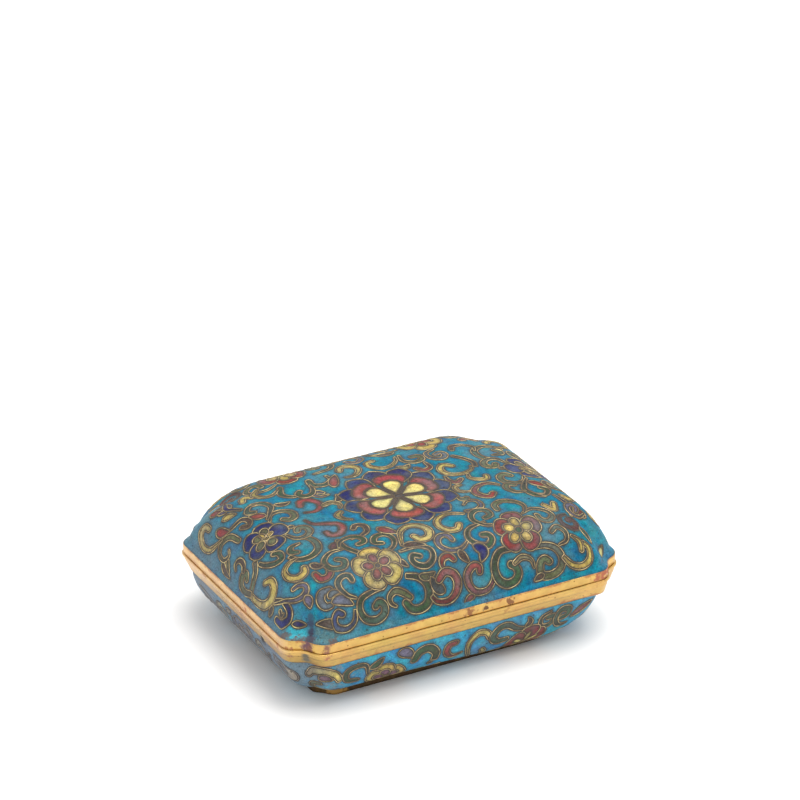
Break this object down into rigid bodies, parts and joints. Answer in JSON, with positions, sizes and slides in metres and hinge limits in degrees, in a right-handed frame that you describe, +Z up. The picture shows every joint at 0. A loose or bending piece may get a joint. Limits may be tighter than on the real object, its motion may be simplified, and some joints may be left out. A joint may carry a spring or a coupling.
{
  "type": "cloisonne enamel box",
  "caption": "Low rectangular lidded box with lobed corners, a domed lift-off lid, gilt rims and a low foot, enamelled with flowers and scrolls on turquoise.",
  "frame": {"origin": "on the surface that the box stands on, under the middle of the box", "axes": "+X along the length of the box, +Y across its width away from the front, +Z up through the lid"},
  "size_m": [0.11, 0.0834, 0.0412],
  "materials": {
    "lid_enamel": "polished vitreous enamel on copper, lightly pitted and worn, with inlaid gilt wires",
    "bowl_enamel": "polished vitreous enamel on copper, lightly pitted and worn, with inlaid gilt wires",
    "gilt": "satin mercury-gilt copper, rubbed through to reddish brown along the enamel",
    "foot_gilt": "darkened gilt copper with tarnish"
  },
  "bodies": {
    "root": {"foot_ring": "foot_gilt", "box_bowl": "bowl_enamel", "box_rim": "gilt", "lid_rim": "gilt", "lid_dome": "lid_enamel"}
  },
  "joints": []
}
